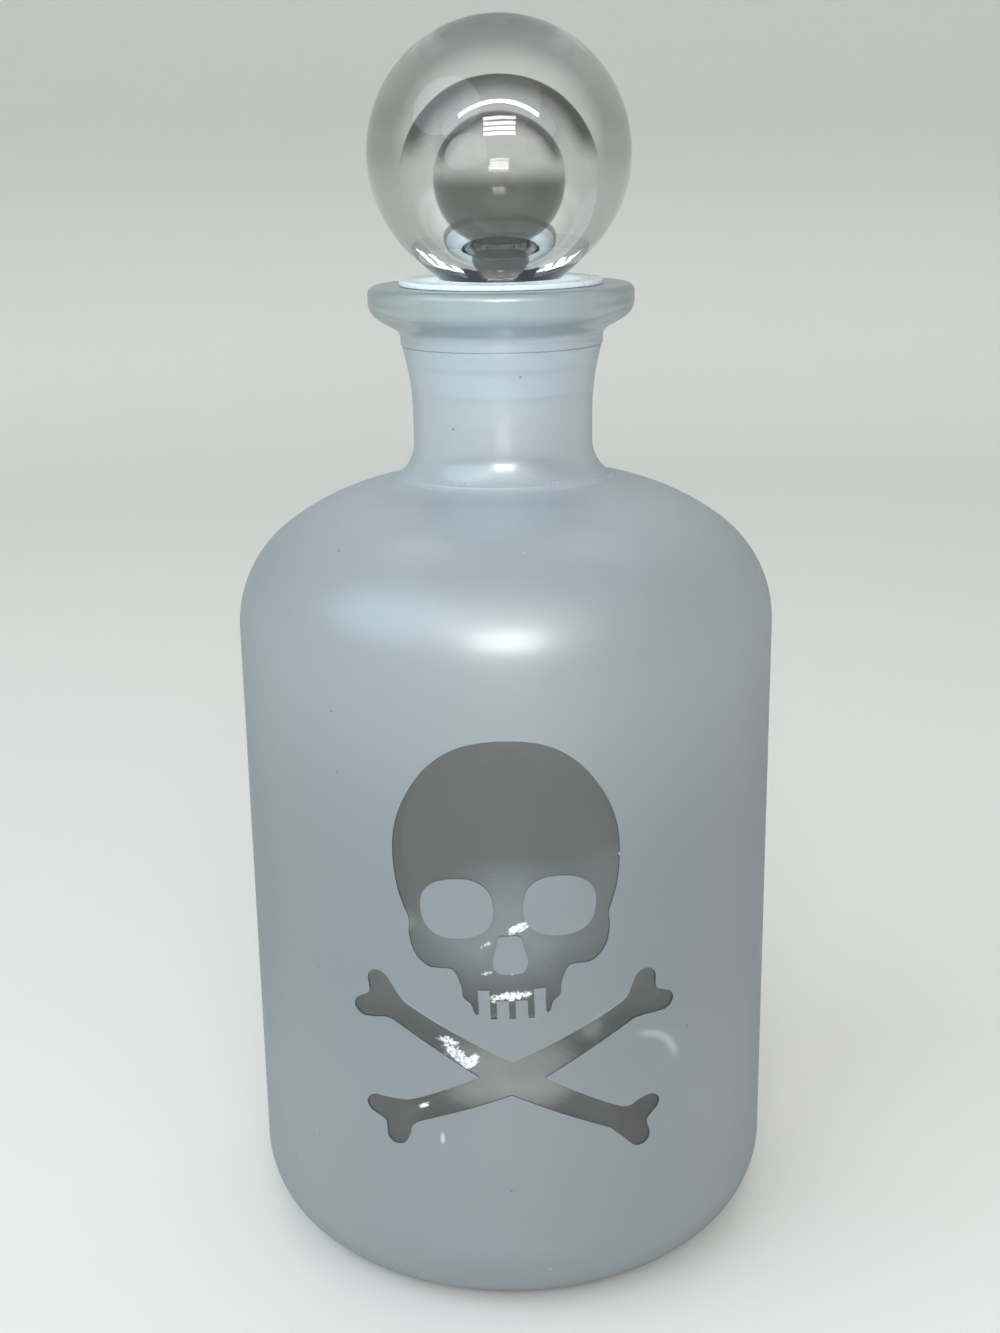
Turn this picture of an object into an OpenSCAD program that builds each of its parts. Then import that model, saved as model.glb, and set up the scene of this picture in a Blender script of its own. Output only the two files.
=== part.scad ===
// Frosted glass decanter with a ball stopper.
// The bottle is blown clear glass, coated outside with a satin lacquer that leaves a skull and
// crossbones clear at the front. The stopper is a thick glass ball with a bubble inside, on a
// tapered plug that turns in a finned plastic sleeve. Stopper and sleeve lift out together.
// The origin is on the table, under the centre of the bottle, and the figure faces -Y.

/* [Body] */
// Outer diameter of the body
body_d = 105; // [96:1:112]
// Height of the bottle at its lip
bottle_h = 191.5; // [170:0.5:230]
// Depth below the lip at which the straight wall ends and the shoulder starts
wall_drop = 64.5; // [61:0.5:80]
// Radius of the rounded heel
heel_r = 16.3; // [14:0.1:18]
// Radius of the shoulder's outer corner
corner_r = 23; // [20:0.5:25]
// Angle that the outer corner turns through before the crown takes over
corner_sweep = 53.13; // [50:0.01:56]
// Radius of the shoulder's crown
crown_r = 48; // [46:0.5:52]
// Thickness of the glass wall with its coat
wall_t = 3.3; // [2.6:0.1:3.8]
// Thickness of the glass in the base
base_t = 7; // [5:0.5:9]
// Radius where the inner wall meets the floor
inner_heel_r = 12; // [9:0.5:14]
// Height of the hollow under the base
punt_h = 3.5; // [2:0.5:5]
// Radius of the hollow under the base, where the resting ring starts
punt_r = 30; // [26:0.5:32]

/* [Neck and lip] */
// Outer diameter of the neck at its waist
neck_d = 34.6; // [33.6:0.2:36]
// Radius of the hollow curve between shoulder and neck
neck_fillet_r = 8; // [6:0.5:9]
// Radius of the neck's slow flare
flare_r = 50; // [44:1:60]
// Height of the flare
flare_h = 13.6; // [11:0.1:14]
// Depth of the finish ring's lower edge below the lip
ring_drop = 10.9; // [10.4:0.1:12]
// How far the finish ring stands proud of the flare
ring_proud = 0.15; // [0.1:0.05:0.3]
// Outer diameter of the lip
lip_d = 50.6; // [48.6:0.2:53]
// Radius of the lip's round underside
lip_under_r = 3.8; // [3.2:0.1:4.4]
// Depth of the lip's widest line below its top
lip_widest_drop = 2.9; // [2.4:0.1:3.4]
// Slope of the lip's underside
lip_slope = 30; // [25:1:35]
// Radius of the hollow curve under the lip
lip_fillet_r = 2; // [1.2:0.1:2.4]
// Radius of the lip's top edge
lip_edge_r = 1.5; // [0.8:0.1:2]
// Radius of the edge of the mouth
mouth_edge_r = 1; // [0.6:0.1:1.4]

/* [Frost coat] */
// Thickness of the satin coat, drawn thicker than a real lacquer
coat_t = 0.3; // [0.2:0.05:0.5]
// Height at which the coat stops above the table
coat_foot = 1.2; // [0.8:0.1:3]

/* [Clear figure] */
// Depth of the skull's top below the upper end of the straight wall
figure_drop = 9; // [6:0.5:14]
// Height of the lowest point of the jaw above the crossing of the bones
skull_rise = 13.4; // [12:0.5:18]
// Width of the skull
skull_w = 40.5; // [36:0.5:44]
// Height of the skull
skull_h = 51.8; // [46:0.5:56]
// Lean of the skull
skull_lean = 1.5; // [0:0.5:4]
// Width of an eye
eye_w = 13.1; // [11:0.1:14]
// Height of an eye
eye_h = 11.5; // [10:0.1:13]
// Distance between the centres of the eyes
eye_spread = 18.3; // [16:0.1:20]
// Height of the eyes above the lowest point of the jaw
eye_rise = 20.4; // [19:0.1:22]
// Tilt of each eye, up towards the nose
eye_tilt = 4; // [0:1:8]
// Width of the nose
nose_w = 6.3; // [5:0.1:7]
// Height of the nose
nose_h = 7.4; // [6:0.1:8]
// Height of the nose above the lowest point of the jaw
nose_rise = 7.7; // [7:0.1:8.5]
// Distance from tooth to tooth
tooth_pitch = 3.4; // [3:0.1:3.6]
// Width of the clear bar between two teeth
tooth_gap = 1.2; // [0.8:0.1:1.6]
// Depth of the bars below the jaw
tooth_drop = 1.1; // [0.5:0.1:2]
// Height of the inner teeth above the lowest point of the jaw
inner_tooth_h = 2.4; // [1.5:0.1:3.5]
// Height of the outer teeth above the lowest point of the jaw
outer_tooth_h = 4.6; // [4:0.1:5]
// Reach of a bone from the crossing to the notch in its end
bone_reach = 30; // [27:0.5:31]
// Width of a bone's shaft
bone_w = 4.6; // [3.6:0.1:5.6]
// Width over the two knuckles of a bone's end
knuckle_w = 10.4; // [8:0.1:12]
// Length over which the shaft swells to its knuckles
knuckle_len = 8; // [6:0.5:10]

/* [Sleeve] */
// Diameter of the sleeve's flange
flange_d = 38.6; // [36:0.2:44]
// Thickness of the sleeve's flange
flange_t = 1; // [0.8:0.1:1.6]
// Length of the sleeve below its flange
sleeve_len = 21.5; // [19:0.5:24]
// Wall of the sleeve
sleeve_wall = 1.3; // [1:0.1:1.8]
// Number of fins
fin_count = 4; // [2:1:5]
// Distance from fin to fin
fin_pitch = 5.2; // [4:0.1:5.2]
// Height of the lowest fin above the sleeve's end
fin_start = 1.5; // [1.2:0.1:3]
// Thickness of a fin at its root
fin_root = 1.8; // [1.2:0.1:2.4]
// Thickness of a fin at its edge
fin_edge = 0.7; // [0.4:0.1:1]

/* [Stopper] */
// Diameter of the glass ball
ball_d = 49.2; // [44:0.2:54]
// Height of the ball's centre above the flange
ball_rise = 22.6; // [20:0.1:24]
// Diameter where the ball's foot rests on the flange
foot_d = 23; // [22.6:0.1:26]
// Diameter of the plug under the ball
plug_d = 22.4; // [20:0.1:22.6]
// Taper of the plug, as the difference of its two diameters
plug_taper = 1.6; // [0.8:0.1:2.4]
// Length of the plug
plug_len = 21.6; // [18:0.1:22]
// Radius of the edge of the plug's tip
tip_edge_r = 1.5; // [1:0.1:3]
// Diameter of the bubble inside the ball
bubble_d = 25; // [20:0.5:28]
// Depth of the bubble's centre below the ball's centre
bubble_drop = 3.1; // [0:0.1:5]
// Diameter of the bubble's stem
stem_d = 8.4; // [6:0.1:10]
// Radius of the hollow curve between bubble and stem
stem_fillet_r = 7; // [5:0.5:9]
// Depth of the stem's end below the flange's top
stem_depth = 1.6; // [0:0.1:4]

/* [Fits] */
// Clearance between the fins and the neck, on the radius
neck_fit = 0.05; // [0.02:0.01:0.1]
// Clearance between the plug and the sleeve, on the radius
plug_fit = 0.05; // [0.02:0.01:0.1]
// Gap between the ball's foot and the flange
foot_gap = 0.05; // [0.02:0.01:0.1]

/* [Hidden] */
$fn = 180;

// Overrun of every cut past the solid that it cuts
over = 1;

// Main radii
body_r = body_d / 2;
neck_r = neck_d / 2;
lip_r = lip_d / 2;
ball_r = ball_d / 2;
bubble_r = bubble_d / 2;
stem_r = stem_d / 2;
plug_r = plug_d / 2;
tip_r = plug_r - plug_taper / 2;
foot_r = foot_d / 2;
flange_r = flange_d / 2;

// Height at which the shoulder starts
wall_top = bottle_h - wall_drop;

// Centres of the shoulder's two arcs, which touch where the corner's sweep ends
corner_c = [body_r - corner_r, wall_top];
crown_c = corner_c - (crown_r - corner_r) * dir(corner_sweep);

// Centre of the hollow curve that touches the crown and the neck
fillet_x = neck_r + neck_fillet_r;
fillet_lift = sqrt(pow(crown_r + neck_fillet_r, 2) - pow(fillet_x - crown_c.x, 2));
fillet_c = [fillet_x, crown_c.y + fillet_lift];
fillet_turn = atan2(fillet_lift, fillet_x - crown_c.x);

// Flare of the neck, and the finish ring above it
flare_top = bottle_h - ring_drop;
flare_start = flare_top - flare_h;
flare_c = [neck_r + flare_r, flare_start];
ring_r = flare_c.x - sqrt(pow(flare_r, 2) - pow(flare_h, 2)) + ring_proud;

// Lip: its round underside, the slope below it and the hollow curve into the finish ring
lip_c = [lip_r - lip_under_r, bottle_h - lip_widest_drop];
slope_start = lip_c + lip_under_r * dir(lip_slope - 90);
lip_fillet_x = ring_r + lip_fillet_r;
lip_fillet_lift = tan(lip_slope) * (lip_fillet_x - slope_start.x) - lip_fillet_r / cos(lip_slope);
lip_fillet_c = [lip_fillet_x, slope_start.y + lip_fillet_lift];

// Inner neck, which widens with the flare up to the mouth
bore_waist_r = neck_r - wall_t;
mouth_r = bore_r(flare_top);

// Sphere of the hollow under the base
punt_ball_r = (pow(punt_r, 2) + pow(punt_h, 2)) / (2 * punt_h);

// Heights of the sleeve and the stopper
flange_top = bottle_h + flange_t;
sleeve_end = bottle_h - sleeve_len;
foot_z = flange_top + foot_gap;
ball_c = [0, flange_top + ball_rise];
plug_end = foot_z - plug_len;

// Where the straight foot of the ball touches the ball
foot_reach = norm([foot_r, foot_z] - ball_c);
foot_turn = atan2(foot_z - ball_c.y, foot_r) + acos(ball_r / foot_reach);

// Bubble and stem, and the hollow curve between them
bubble_c = [0, ball_c.y - bubble_drop];
stem_x = stem_r + stem_fillet_r;
stem_fall = sqrt(pow(bubble_r + stem_fillet_r, 2) - pow(stem_x, 2));
stem_c = [stem_x, bubble_c.y - stem_fall];
stem_turn = atan2(stem_fall, -stem_x);
stem_end = flange_top - stem_depth;

// Heights of the clear figure
skull_base = wall_top - figure_drop - skull_h;
crossing_z = skull_base - skull_rise;
lean_pivot = skull_base + nose_rise;

// Right half of the skull from crown to teeth: shares of half the width and of the height
skull_shares = [
    [0, 1], [0.38, 0.977], [0.657, 0.906], [0.855, 0.8], [0.968, 0.69], [1, 0.58],
    [0.978, 0.465], [0.93, 0.394], [0.888, 0.345], [0.893, 0.29], [0.85, 0.22],
    [0.73, 0.172], [0.545, 0.168], [0.484, 0.145], [0.445, 0.1], [0.434, 0.062],
    [0.366, 0.035], [0.34, 0.003], [0.302, 0.003]
];

// Right half of the nose from its top down: shares of half the width and of the height
nose_shares = [[0, 1], [0.6, 0.97], [0.8, 0.7], [1, 0.32], [0.82, 0.07], [0.4, 0], [0, 0]];

// Roundness of the eyes: 2 is an ellipse, and more is squarer
eye_power = 2.4;
eye_points = 36;

// Turn of each half bone about the crossing, its share of the reach, and the turn of its
// knuckles, which bend a little off the line of the shaft
arm_turns = [149.8, 28, 203.6, -27.8];
arm_reach_shares = [1, 1.015, 0.88, 0.935];
end_turns = [6, 4, 11, 12];

// One side of a bone's swelling end: shares of the knuckle's length past the notch, and of
// half its width
knuckle_shares = [
    [-1, 0.43], [-0.62, 0.52], [-0.36, 0.78], [-0.1, 1], [0.13, 0.88], [0.18, 0.54], [0.02, 0.1]
];
// Width of the shaft at the crossing, as a share of its width further out, and the share of
// the reach where it has become half as much wider
crossing_share = 1.35;
shaft_start_share = 0.24;
// Where the knuckles turn, as a share of their length before the notch
pivot_share = 0.5;

// Points that a smooth outline gets between two of its own
curve_steps = 3;

// Unit direction at an angle
function dir(a) = [cos(a), sin(a)];

// Point turned about the origin
function turned(p, a) = [p.x * cos(a) - p.y * sin(a), p.x * sin(a) + p.y * cos(a)];

// Inner radius of the neck at a height
function bore_r(z) =
    z <= flare_start ? bore_waist_r
    : flare_c.x - sqrt(pow(flare_r + wall_t, 2) - pow(min(z, flare_top) - flare_start, 2));

// Mirror image of a list of points, in the opposite order
function mirrored(points) = [for (i = [len(points) - 1:-1:0]) [-points[i].x, points[i].y]];

// Point on the smooth curve from b to c, where a comes before and d after
function curve_point(a, b, c, d, t) =
    b + (t * (c - a) + t * t * (2 * a - 5 * b + 4 * c - d)
    + t * t * t * (3 * b - a - 3 * c + d)) / 2;

// Closed smooth curve through points. A point given twice is a sharp corner.
function smooth(p) = [
    for (i = [0:len(p) - 1])
        let (a = p[(i + len(p) - 1) % len(p)], c = p[(i + 1) % len(p)], d = p[(i + 2) % len(p)])
            if (p[i] != c)
                for (s = [0:curve_steps - 1]) curve_point(a, p[i], c, d, s / curve_steps)
];

// Slice of a disc between two angles
module sector(centre, r, from, to) {
    far = 2 * r;
    intersection() {
        translate(centre) circle(r);
        polygon([centre, centre + far * dir(from), centre + far * dir(to)]);
    }
}

// Half section of body, shoulder and neck up to the top of the flare, moved in by a depth
module vessel_section(depth, floor_z, heel) {
    heel_c = [body_r - depth - heel, floor_z + heel];
    crown_end = crown_c + (crown_r - depth) * dir(fillet_turn);
    flare_turn = asin(flare_h / (flare_r + depth));
    flare_end = flare_c + (flare_r + depth) * dir(180 - flare_turn);
    difference() {
        union() {
            polygon([
                [0, floor_z],
                [heel_c.x, floor_z],
                [body_r - depth, heel_c.y],
                [body_r - depth, wall_top],
                corner_c + (corner_r - depth) * dir(corner_sweep),
                crown_end,
                [neck_r - depth, fillet_c.y],
                [neck_r - depth, flare_start],
                flare_end,
                [0, flare_top]
            ]);
            sector(heel_c, heel, -90, 0);
            sector(corner_c, corner_r - depth, 0, corner_sweep);
            sector(crown_c, crown_r - depth, corner_sweep, fillet_turn);
        }
        sector(fillet_c, neck_fillet_r + depth, 180, 180 + fillet_turn);
        sector(flare_c, flare_r + depth, 180 - flare_turn, 180);
    }
}

// Half section of the finish ring and the lip, moved in by a depth
module lip_section(depth) {
    under_start = slope_start - depth * dir(lip_slope - 90);
    fillet_end = lip_fillet_c + (lip_fillet_r + depth) * dir(90 + lip_slope);
    edge_c = [lip_r - lip_edge_r, bottle_h - lip_edge_r];
    difference() {
        union() {
            polygon([
                [0, flare_top],
                [ring_r - depth, flare_top],
                [ring_r - depth, lip_fillet_c.y],
                fillet_end,
                under_start,
                [lip_r - depth, lip_c.y],
                [lip_r - depth, edge_c.y],
                [edge_c.x, bottle_h - depth],
                [0, bottle_h - depth]
            ]);
            sector(lip_c, lip_under_r - depth, lip_slope - 90, 0);
            sector(edge_c, lip_edge_r - depth, 0, 90);
        }
        sector(lip_fillet_c, lip_fillet_r + depth, 90 + lip_slope, 180);
    }
}

// Half section of the bottle's outside, moved in by a depth
module outside_section(depth) {
    vessel_section(depth, depth, heel_r - depth);
    lip_section(depth);
}

// Half section of the hollow inside, with the mouth's round edge
module inside_section() {
    glass_top = bottle_h - coat_t;
    edge_c = [mouth_r + mouth_edge_r, glass_top - mouth_edge_r];
    difference() {
        union() {
            vessel_section(wall_t, base_t, inner_heel_r);
            translate([0, flare_top]) square([mouth_r, bottle_h + over - flare_top]);
            translate([0, edge_c.y]) square([edge_c.x, bottle_h + over - edge_c.y]);
        }
        sector(edge_c, mouth_edge_r, 90, 180);
        translate([0, punt_h - punt_ball_r]) circle(punt_ball_r + base_t);
    }
}

module bottle() {
    color("lightcyan", 0.4) rotate_extrude() intersection() {
        difference() {
            union() {
                outside_section(coat_t);
                square([body_r - heel_r, heel_r]);
            }
            inside_section();
            translate([0, punt_h - punt_ball_r]) circle(punt_ball_r);
        }
        square([body_r, bottle_h]);
    }
}

// Skull as it is seen from straight in front, with frosted eyes, nose and teeth
module skull() {
    half = [for (s = skull_shares) [s.x * skull_w / 2, s.y * skull_h]];
    tooth_corner = [half[len(half) - 1].x, outer_tooth_h];
    side = [for (p = half) if (p.x > 0) p];
    bar_h = tooth_drop + outer_tooth_h;
    difference() {
        union() {
            polygon(smooth([
                half[0], each side, tooth_corner, tooth_corner,
                each mirrored([each side, tooth_corner, tooth_corner])
            ]));
            translate([-tooth_pitch, inner_tooth_h])
                square([2 * tooth_pitch, outer_tooth_h - inner_tooth_h + tooth_gap]);
            for (i = [-1:1])
                translate([i * tooth_pitch - tooth_gap / 2, -tooth_drop])
                    square([tooth_gap, bar_h + tooth_gap]);
        }
        for (side = [-1, 1])
            translate([side * eye_spread / 2, eye_rise]) rotate(-side * eye_tilt) eye();
        translate([0, nose_rise]) nose();
    }
}

// Rounded eye whose outline turns its corners faster than an ellipse does
module eye() {
    polygon([
        for (i = [0:eye_points - 1])
            let (a = i * 360 / eye_points)
                [
                    sign(cos(a)) * pow(abs(cos(a)), 2 / eye_power) * eye_w / 2,
                    sign(sin(a)) * pow(abs(sin(a)), 2 / eye_power) * eye_h / 2
                ]
    ]);
}

module nose() {
    half = [for (s = nose_shares) [s.x * nose_w / 2, s.y * nose_h]];
    side = [for (p = half) if (p.x > 0) p];
    polygon(smooth([half[0], each side, half[len(half) - 1], each mirrored(side)]));
}

// Half of one bone, from the crossing to its two knuckles
module bone(reach, end_turn) {
    half_w = bone_w / 2;
    pivot = [reach - pivot_share * knuckle_len, 0];
    end = [for (s = knuckle_shares) [reach + s.x * knuckle_len, s.y * knuckle_w / 2]];
    start = [[0, half_w * crossing_share], [0, half_w * crossing_share]];
    side = [each start, [reach * shaft_start_share, half_w * (1 + crossing_share) / 2], each end];
    other = [for (i = [len(side) - 1:-1:0]) [side[i].x, -side[i].y]];
    polygon(smooth([
        for (p = [each side, each other]) p.x > pivot.x ? pivot + turned(p - pivot, end_turn) : p
    ]));
}

// Whole figure, drawn flat at its height above the table
module figure() {
    translate([0, lean_pivot]) rotate(skull_lean) translate([0, skull_base - lean_pivot]) skull();
    for (i = [0:len(arm_turns) - 1])
        translate([0, crossing_z]) rotate(arm_turns[i])
            bone(bone_reach * arm_reach_shares[i], end_turns[i]);
}

module frost_coat() {
    color("lightsteelblue") difference() {
        rotate_extrude() difference() {
            outside_section(0);
            outside_section(coat_t);
            square([body_r + over, coat_foot]);
            translate([0, bottle_h - coat_t - over])
                square([mouth_r + mouth_edge_r, over + coat_t + over]);
        }
        rotate([90, 0, 0]) linear_extrude(body_r + over) figure();
    }
}

module stopper_sleeve() {
    bore_top_r = plug_r + plug_fit;
    bore_taper = (plug_r - tip_r) / plug_len;
    bore_end_r = bore_top_r - bore_taper * (flange_top - sleeve_end);
    color("white", 0.8) rotate_extrude() union() {
        translate([bore_top_r, bottle_h]) square([flange_r - bore_top_r, flange_t]);
        polygon([
            [bore_end_r, sleeve_end],
            [bore_end_r + sleeve_wall, sleeve_end],
            [bore_top_r + sleeve_wall, bottle_h],
            [bore_top_r + sleeve_wall, flange_top],
            [bore_top_r, flange_top]
        ]);
        for (i = [0:fin_count - 1]) fin(sleeve_end + fin_start + i * fin_pitch, bore_end_r);
    }
}

// Half section of one fin of the sleeve, which reaches to the neck
module fin(z, root_r) {
    edge_r = bore_r(z - fin_edge / 2) - neck_fit;
    polygon([
        [root_r + sleeve_wall / 2, z - fin_root / 2],
        [edge_r, z - fin_edge / 2],
        [edge_r, z + fin_edge / 2],
        [root_r + sleeve_wall / 2, z + fin_root / 2]
    ]);
}

module ball_stopper() {
    color("white", 0.35) rotate_extrude() difference() {
        union() {
            polygon([
                [0, plug_end],
                [tip_r - tip_edge_r, plug_end],
                [tip_r, plug_end + tip_edge_r],
                [plug_r, foot_z],
                [foot_r, foot_z],
                ball_c + ball_r * dir(foot_turn),
                ball_c + [ball_r, 0],
                ball_c + [0, ball_r]
            ]);
            sector(ball_c, ball_r, foot_turn, 0);
            sector(ball_c, ball_r, 0, 90);
            sector([tip_r - tip_edge_r, plug_end + tip_edge_r], tip_edge_r, -90, 0);
        }
        bubble_section();
    }
}

// Half section of the bubble, its stem and the hollow curve between them
module bubble_section() {
    touch = bubble_c + bubble_r * dir(-atan2(stem_fall, stem_x));
    translate(bubble_c) circle(bubble_r);
    translate([0, stem_end + stem_r]) circle(stem_r);
    difference() {
        polygon([
            [0, stem_end + stem_r],
            [stem_r, stem_end + stem_r],
            [stem_r, stem_c.y],
            touch,
            bubble_c
        ]);
        sector(stem_c, stem_fillet_r, stem_turn, 180);
    }
}

bottle();
frost_coat();
stopper_sleeve();
ball_stopper();
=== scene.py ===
"""Looks of a frosted glass decanter with a ball stopper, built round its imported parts."""

import math
from types import SimpleNamespace

import bmesh
import bpy
from bpy.props import FloatProperty, FloatVectorProperty, IntProperty, PointerProperty
from mathutils import Matrix, Vector
from mathutils.geometry import delaunay_2d_cdt


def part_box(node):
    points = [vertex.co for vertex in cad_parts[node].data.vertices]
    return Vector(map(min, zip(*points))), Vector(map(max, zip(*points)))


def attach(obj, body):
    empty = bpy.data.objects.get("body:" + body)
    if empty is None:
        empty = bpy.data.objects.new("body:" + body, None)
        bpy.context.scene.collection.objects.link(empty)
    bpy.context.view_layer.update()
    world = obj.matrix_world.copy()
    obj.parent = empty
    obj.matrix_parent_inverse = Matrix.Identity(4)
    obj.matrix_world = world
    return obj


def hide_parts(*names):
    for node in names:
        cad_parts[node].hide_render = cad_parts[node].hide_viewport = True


bl_info = {
    "name": "Frosted Decanter",
    "version": (1, 0, 0),
    "blender": (4, 5, 0),
    "location": "View3D > Sidebar > Decanter",
    "description": "Builds the looks of a frosted glass decanter with a ball stopper",
    "category": "Add Mesh",
}

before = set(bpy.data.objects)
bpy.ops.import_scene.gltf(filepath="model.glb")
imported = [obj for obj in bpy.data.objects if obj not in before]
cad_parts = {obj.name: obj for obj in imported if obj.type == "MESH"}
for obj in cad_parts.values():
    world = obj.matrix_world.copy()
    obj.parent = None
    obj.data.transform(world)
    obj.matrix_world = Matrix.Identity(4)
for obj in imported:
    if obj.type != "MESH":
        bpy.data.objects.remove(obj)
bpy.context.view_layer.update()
COAT_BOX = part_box("frost_coat")
STOPPER_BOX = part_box("ball_stopper")

COLUMNS = 180  # faces round every turned piece
ARC_STEP = math.radians(2.5)  # largest turn of one step along an arc
BEAD_STEPS = 8  # steps across the mould line
MM = 0.001


# Properties


def length(name, description, millimetres):
    """A length that the user may change, given in millimetres."""
    return FloatProperty(
        name=name,
        description=description,
        default=millimetres * MM,
        unit="LENGTH",
        subtype="DISTANCE",
        precision=4,
    )


def angle(name, description, degrees):
    return FloatProperty(
        name=name,
        description=description,
        default=math.radians(degrees),
        unit="ROTATION",
        subtype="ANGLE",
    )


def colour(name, description, values):
    return FloatVectorProperty(
        name=name,
        description=description,
        default=values,
        size=3,
        min=0.0,
        max=1.0,
        subtype="COLOR",
    )


class DecanterBottle(bpy.types.PropertyGroup):
    body_d: length("Body diameter", "Outer diameter of the body", 2 * COAT_BOX[1][0] / MM)
    height: length("Height", "Height of the bottle at its lip", COAT_BOX[1][2] / MM)
    wall_drop: length("Wall drop", "Depth below the lip at which the shoulder starts", 64.5)
    heel_r: length("Heel radius", "Radius of the rounded heel", 16.3)
    corner_r: length("Corner radius", "Radius of the shoulder's outer corner", 23)
    corner_sweep: angle("Corner sweep", "Turn of the outer corner", 53.13)
    crown_r: length("Crown radius", "Radius of the shoulder's crown", 48)
    wall: length("Wall", "Thickness of the glass wall with its coat", 3.3)
    base: length("Base", "Thickness of the glass in the base", 7)
    inner_heel_r: length("Inner heel radius", "Radius where the inner wall meets the floor", 12)
    punt_h: length("Punt height", "Height of the hollow under the base", 3.5)
    punt_r: length("Punt radius", "Radius of the hollow under the base", 30)
    neck_d: length("Neck diameter", "Outer diameter of the neck at its waist", 34.6)
    neck_fillet_r: length("Neck fillet", "Radius of the curve between shoulder and neck", 8)
    flare_r: length("Flare radius", "Radius of the neck's slow flare", 50)
    flare_h: length("Flare height", "Height of the flare", 13.6)
    ring_drop: length("Ring drop", "Depth of the finish ring's lower edge below the lip", 10.9)
    ring_proud: length("Ring height", "How far the finish ring stands proud", 0.15)
    groove_w: length("Groove width", "Width of the fine groove under the finish ring", 0.5)
    groove_h: length("Groove depth", "Depth of the fine groove under the finish ring", 0.12)
    bead_turn: angle("Mould line place", "Turn from the shoulder up to the mould line", 28)
    bead_w: length("Mould line width", "Width of the raised mould line at the neck's foot", 0.9)
    bead_h: length("Mould line height", "Height of the raised mould line", 0.1)
    lip_d: length("Lip diameter", "Outer diameter of the lip", 50.6)
    lip_under_r: length("Lip underside", "Radius of the lip's round underside", 3.8)
    lip_widest_drop: length("Lip's widest line", "Depth of the lip's widest line", 2.9)
    lip_slope: angle("Lip slope", "Slope of the lip's underside", 30)
    lip_fillet_r: length("Lip fillet", "Radius of the hollow curve under the lip", 2)
    lip_edge_r: length("Lip edge", "Radius of the lip's top edge", 1.5)
    mouth_edge_r: length("Mouth edge", "Radius of the edge of the mouth", 1)
    coat: length("Coat", "Thickness of the satin coat", 0.3)
    coat_gap: length("Coat gap", "Gap between the coat and the glass", 0.02)
    coat_foot: length("Coat foot", "Height at which the coat stops", 1.2)


class DecanterFigure(bpy.types.PropertyGroup):
    drop: length("Figure drop", "Depth of the skull's top below the straight wall's top", 9)
    skull_rise: length("Skull rise", "Height of the jaw above the crossing", 13.4)
    skull_w: length("Skull width", "Width of the skull", 40.5)
    skull_h: length("Skull height", "Height of the skull", 51.8)
    skull_lean: angle("Skull lean", "Lean of the skull", 1.5)
    eye_w: length("Eye width", "Width of an eye", 13.1)
    eye_h: length("Eye height", "Height of an eye", 11.5)
    eye_spread: length("Eye spread", "Distance between the centres of the eyes", 18.3)
    eye_rise: length("Eye rise", "Height of the eyes above the jaw", 20.4)
    eye_tilt: angle("Eye tilt", "Tilt of each eye, up towards the nose", 4)
    nose_w: length("Nose width", "Width of the nose", 6.3)
    nose_h: length("Nose height", "Height of the nose", 7.4)
    nose_rise: length("Nose rise", "Height of the nose above the jaw", 7.7)
    tooth_pitch: length("Tooth pitch", "Distance from tooth to tooth", 3.4)
    tooth_gap: length("Tooth gap", "Width of the clear bar between two teeth", 1.2)
    tooth_drop: length("Tooth drop", "Depth of the bars below the jaw", 1.1)
    inner_tooth_h: length("Inner tooth height", "Height of the inner teeth", 2.4)
    outer_tooth_h: length("Outer tooth height", "Height of the outer teeth", 4.6)
    bone_reach: length("Bone reach", "Reach of a bone from the crossing", 30)
    bone_w: length("Bone width", "Width of a bone's shaft", 4.6)
    knuckle_w: length("Knuckle width", "Width over the two knuckles", 10.4)
    knuckle_len: length("Knuckle length", "Length over which the shaft swells", 8)


class DecanterSleeve(bpy.types.PropertyGroup):
    flange_d: length("Flange diameter", "Diameter of the sleeve's flange", 38.6)
    flange_t: length("Flange thickness", "Thickness of the sleeve's flange", 1)
    depth: length("Sleeve length", "Length of the sleeve below its flange", 21.5)
    wall: length("Sleeve wall", "Wall of the sleeve", 1.3)
    fins: IntProperty(name="Fins", description="Number of fins", default=4, min=1, max=5)
    fin_pitch: length("Fin pitch", "Distance from fin to fin", 5.2)
    fin_start: length("Fin start", "Height of the lowest fin above the sleeve's end", 1.5)
    fin_root: length("Fin root", "Thickness of a fin at its root", 1.8)
    fin_edge: length("Fin edge", "Thickness of a fin at its edge", 0.7)
    fit: length("Fit", "Clearance of fins and plug, on the radius", 0.05)
    round_r: length("Rounding", "Radius of the sleeve's rounded edges", 0.18)
    seat: length("Seat", "Hair's breadth between the flange and the lip", 0.04)


class DecanterStopper(bpy.types.PropertyGroup):
    ball_d: length("Ball diameter", "Diameter of the glass ball", 2 * STOPPER_BOX[1][0] / MM)
    rise: length("Ball rise", "Height of the ball's centre above the flange", 22.6)
    foot_d: length("Foot diameter", "Diameter of the ball's foot", 23)
    foot_gap: length("Foot gap", "Gap between foot and flange", 0.05)
    plug_d: length("Plug diameter", "Diameter of the plug under the ball", 22.4)
    plug_taper: length("Plug taper", "Difference of the plug's two diameters", 1.6)
    plug_len: length("Plug length", "Length of the plug", 21.6)
    tip_edge_r: length("Tip edge", "Radius of the edge of the plug's tip", 1.5)
    bubble_d: length("Bubble diameter", "Diameter of the bubble inside the ball", 25)
    bubble_drop: length("Bubble drop", "Depth of the bubble's centre below the ball's", 3.1)
    stem_d: length("Stem diameter", "Diameter of the bubble's stem", 8.4)
    stem_fillet_r: length("Stem fillet", "Radius between bubble and stem", 7)
    stem_depth: length("Stem depth", "Depth of the stem's end below the flange's top", 1.6)


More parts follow.
